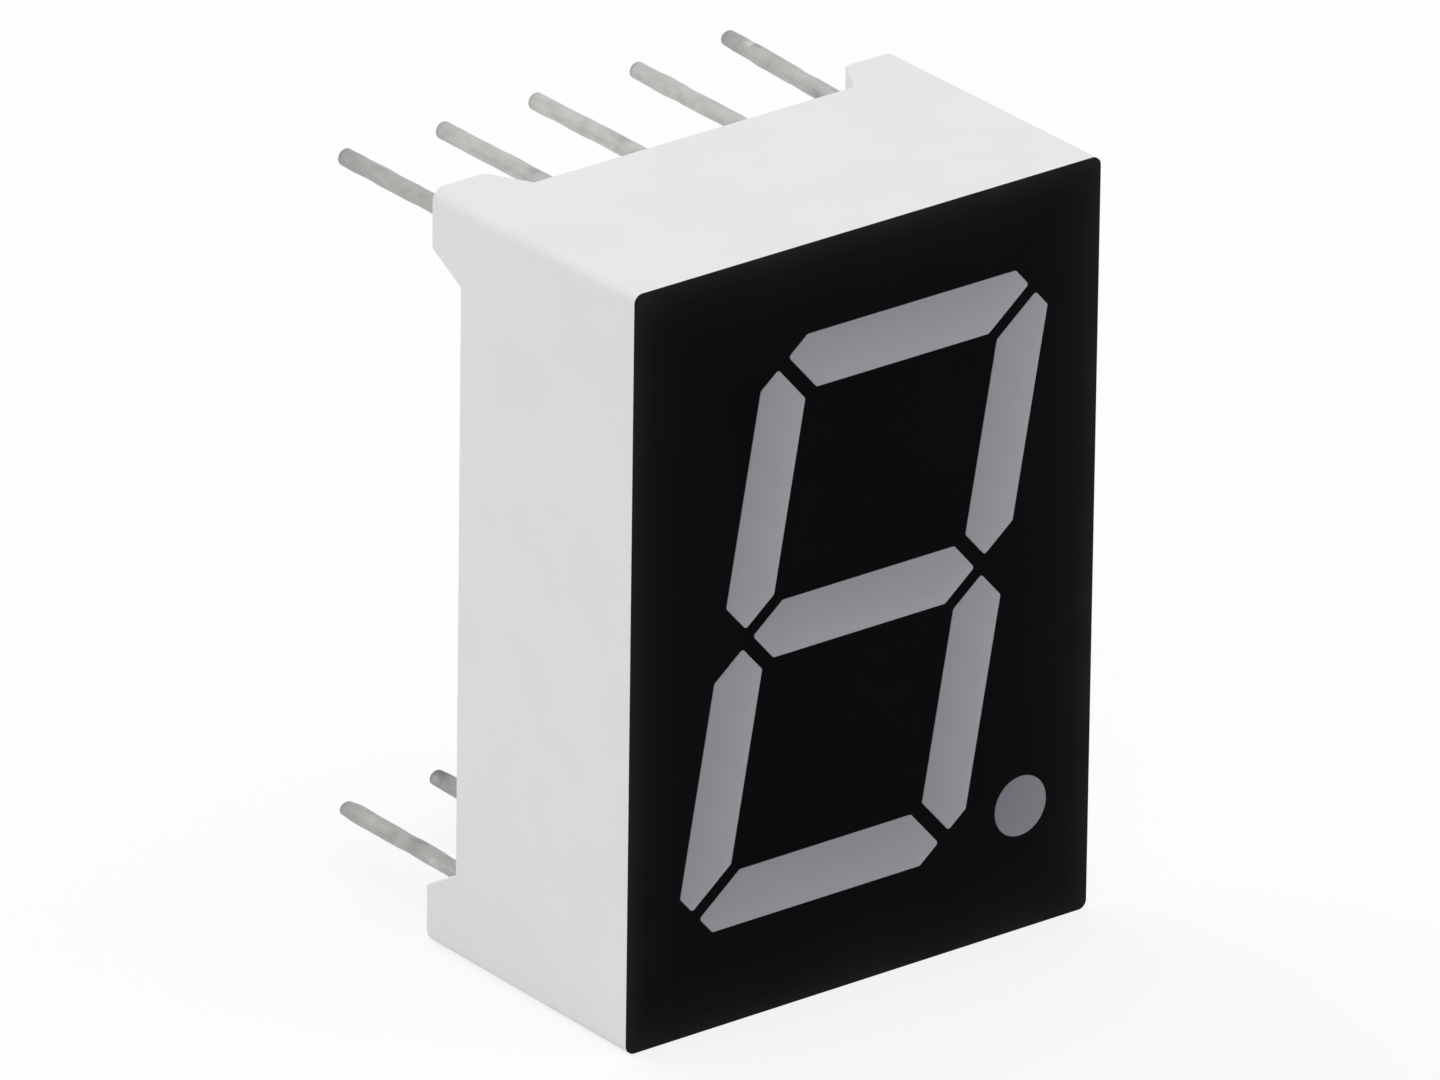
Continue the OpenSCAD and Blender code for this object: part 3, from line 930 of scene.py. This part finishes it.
pottingShape = {
    "wallRise": 0.16, "wallFade": 0.16, "pinRise": 0.11, "pinFade": 0.09,
    "swell": 0.012, "swellX": (0.9, 0.4), "swellZ": (0.55, -0.3),  # in mm; radians per mm and at the middle
    "wallRows": [0.025, 0.06, 0.11, 0.17, 0.25, 0.36, 0.5], "rowClear": 0.3, "wallStep": 0.3,
    "cornerSteps": 5, "pinRings": [0.02, 0.045, 0.08, 0.13, 0.2, 0.3], "ringClear": 0.02, "ringPoints": 30,
    "grid": 0.45, "gridFromWall": 0.6, "gridFromPin": 0.4, "weld": 1e-6, "slack": 0.001, "sharpFrom": 50,
}


def makePotting():
    low, high = boxOf("rear_potting")
    halfX, halfZ = high.x, high.z
    shape, hole, places = pottingShape, pinShape["coreRadius"], list(pinPlaces.values())

    def rim(inset):  # the wall's outline moved inwards, in short steps
        box = [(-halfX + inset, -halfZ + inset), (halfX - inset, -halfZ + inset),
               (halfX - inset, halfZ - inset), (-halfX + inset, halfZ - inset)]
        rounded = roundedPath(box, housingShape["innerCorner"], shape["cornerSteps"], closed=True)
        ring = []
        for k, p in enumerate(rounded):
            q = rounded[(k + 1) % len(rounded)]
            parts = max(1, round((q - p).length / shape["wallStep"]))
            ring += [p + (q - p) * s / parts for s in range(parts)]
        return ring

    def wallDistance(p):
        return min(halfX - abs(p.x), halfZ - abs(p.y))

    def pinDistance(p):
        return min((p - c).length for c in places) - hole

    def level(p):
        y = high.y + shape["wallRise"] * math.exp(-max(0, wallDistance(p)) / shape["wallFade"])
        y += shape["pinRise"] * math.exp(-max(0, pinDistance(p)) / shape["pinFade"])
        (turnX, startX), (turnZ, startZ) = shape["swellX"], shape["swellZ"]
        return y + shape["swell"] * math.sin(turnX * p.x + startX) * math.cos(turnZ * p.y + startZ)

    points, edges = [], []
    for ring in [rim(0)] + [circleAt(c, hole, shape["ringPoints"]) for c in places]:
        first, count = len(points), len(ring)
        points += ring
        edges += [(first + k, first + (k + 1) % count) for k in range(count)]
    for inset in shape["wallRows"]:
        points += [p for p in rim(inset) if pinDistance(p) > shape["rowClear"]]
    for out in shape["pinRings"]:
        for c in places:
            ring = circleAt(c, hole + out, shape["ringPoints"])
            points += [p for p in ring if wallDistance(p) > shape["ringClear"]]
    countX, countZ = int(2 * halfX / shape["grid"]), int(2 * halfZ / shape["grid"])
    for i in range(countX):
        for k in range(countZ):
            p = Vector((-halfX + (i + 0.5) * 2 * halfX / countX, -halfZ + (k + 0.5) * 2 * halfZ / countZ))
            if wallDistance(p) > shape["gridFromWall"] and pinDistance(p) > shape["gridFromPin"]:
                points.append(p)
    verts, _, faces, *_ = delaunay_2d_cdt(points, edges, [], 0, shape["weld"])

    bm = bmesh.new()
    top = [bm.verts.new((p.x * mm, level(p) * mm, p.y * mm)) for p in verts]
    bottom = [bm.verts.new((p.x * mm, low.y * mm, p.y * mm)) for p in verts]
    for face in faces:
        middle = sum((verts[k] for k in face), Vector((0, 0))) / len(face)
        if pinDistance(middle) > -shape["slack"]:
            bm.faces.new([top[k] for k in face])
            bm.faces.new([bottom[k] for k in reversed(face)])
    below = dict(zip(top, bottom))
    for edge in [e for e in bm.edges if len(e.link_faces) == 1]:
        a, b = edge.verts
        if a in below and b in below:
            bm.faces.new((a, b, below[b], below[a]))
    loose = [v for v in bm.verts if not v.link_faces]
    bmesh.ops.delete(bm, geom=loose, context="VERTS")
    piece = makePiece("potting_fill", bm, pottingResin, shape["sharpFrom"])
    tidyMesh(piece, shape["sharpFrom"])
    return piece


settle(makePotting(), "potting_resin", "rear_potting")
print("potting poured")


# floor, light and camera

stageLook = {
    "floorHalf": 1.5, "floorColour": (0.95, 0.95, 0.95), "floorRough": 0.9, "floorSpecular": 0.1,
    "shadowShare": 0.25, "ambient": (0.54, 0.54, 0.545),
}


def makeFloor():
    half, z = stageLook["floorHalf"], cadLow.z
    mesh = bpy.data.meshes.new("floor")
    corners = [(-half, -half, z), (half, -half, z), (half, half, z), (-half, half, z)]
    mesh.from_pydata(corners, [], [(0, 1, 2, 3)])
    floor = bpy.data.objects.new("floor", mesh)
    scene.collection.objects.link(floor)
    material, tree, shader = startMaterial("paleFloor")
    setSockets(tree, shader, {
        "Base Color": (*stageLook["floorColour"], 1),
        "Roughness": stageLook["floorRough"],
        "Specular IOR Level": stageLook["floorSpecular"],
    })
    white = tree.nodes.new("ShaderNodeEmission")
    seen = tree.nodes.new("ShaderNodeLightPath").outputs
    direct = addMath(tree, "MAXIMUM", seen["Is Camera Ray"], seen["Is Glossy Ray"])
    mix = tree.nodes.new("ShaderNodeMixShader")  # plain white to the eye, with a share of the real shadow
    tree.links.new(addMath(tree, "MULTIPLY", direct, 1 - stageLook["shadowShare"]), mix.inputs["Fac"])
    tree.links.new(shader.outputs["BSDF"], mix.inputs[1])
    tree.links.new(white.outputs["Emission"], mix.inputs[2])
    tree.links.new(mix.outputs["Shader"], tree.nodes["Material Output"].inputs["Surface"])
    mesh.materials.append(material)


def makeWorld():
    world = bpy.data.worlds.new("paleStudio")
    world.use_nodes = True
    tree = world.node_tree
    seen = tree.nodes.new("ShaderNodeLightPath").outputs
    direct = addMath(tree, "MAXIMUM", seen["Is Camera Ray"], seen["Is Glossy Ray"])
    through = addMath(tree, "MAXIMUM", direct, seen["Is Transmission Ray"])
    mix = tree.nodes.new("ShaderNodeMix")
    mix.data_type = "RGBA"
    mix.inputs[6].default_value = (*stageLook["ambient"], 1)  # the mix's first colour lights the object
    mix.inputs[7].default_value = (1, 1, 1, 1)  # the second is what is seen behind it or mirrored in it
    tree.links.new(through, mix.inputs["Factor"])
    setSockets(tree, tree.nodes["Background"], {"Color": mix.outputs[2], "Strength": 1.0})
    scene.world = world


# azimuth and elevation in degrees, distance and size in metres; level: what it adds to a surface facing it
softboxes = {
    "keyBox": {"azimuth": -60, "elevation": 48, "distance": 0.45, "size": 0.30, "level": 0.105},
    "sideBox": {"azimuth": -118, "elevation": 20, "distance": 0.5, "size": 0.35, "level": 0.03},
    "topBox": {"azimuth": 20, "elevation": 80, "distance": 0.45, "size": 0.35, "level": 0.29},
    "fillBox": {"azimuth": 50, "elevation": 25, "distance": 0.55, "size": 0.35, "level": 0.12},
    "rearBox": {"azimuth": -165, "elevation": 25, "distance": 0.55, "size": 0.35, "level": 0.3,
                "shines": False},
}


def addSoftbox(name, azimuth, elevation, distance, size, level, shines=True):
    light = bpy.data.lights.new(name, "AREA")
    light.shape = "SQUARE"
    light.size = size
    light.energy = level * math.pi ** 2 * distance ** 2
    lamp = bpy.data.objects.new(name, light)
    a, e = math.radians(azimuth), math.radians(elevation)
    back = Vector((math.sin(a) * math.cos(e), -math.cos(a) * math.cos(e), math.sin(e)))
    lamp.location = (cadLow + cadHigh) / 2 + back * distance
    lamp.rotation_euler = back.to_track_quat("Z", "Y").to_euler()
    lamp.visible_glossy = shines
    scene.collection.objects.link(lamp)


makeFloor()
makeWorld()
for name, softbox in softboxes.items():
    addSoftbox(name, **softbox)

cameraShape = {
    "place": (-0.29763, -0.38013, 0.21754), "azimuth": 38.211, "elevation": 24.355, "roll": 0.767,
    "lens": 622.32, "sensor": 36.0, "clip": (0.01, 10),
}


def makeCamera():
    shape = cameraShape
    data = bpy.data.cameras.new("camera")
    data.lens, data.sensor_width = shape["lens"], shape["sensor"]
    data.clip_start, data.clip_end = shape["clip"]
    camera = bpy.data.objects.new("camera", data)
    a, e, r = (math.radians(shape[k]) for k in ("azimuth", "elevation", "roll"))
    ahead = Vector((math.sin(a) * math.cos(e), math.cos(a) * math.cos(e), -math.sin(e)))
    level = Vector((math.cos(a), -math.sin(a), 0))
    upright = level.cross(ahead)
    right = level * math.cos(r) + upright * math.sin(r)
    up = right.cross(ahead)
    turn = Matrix((right, up, -ahead)).transposed().to_4x4()
    camera.matrix_world = Matrix.Translation(shape["place"]) @ turn
    scene.collection.objects.link(camera)
    scene.camera = camera


makeCamera()
scene.view_settings.view_transform = "Standard"
print("floor, light and camera set")
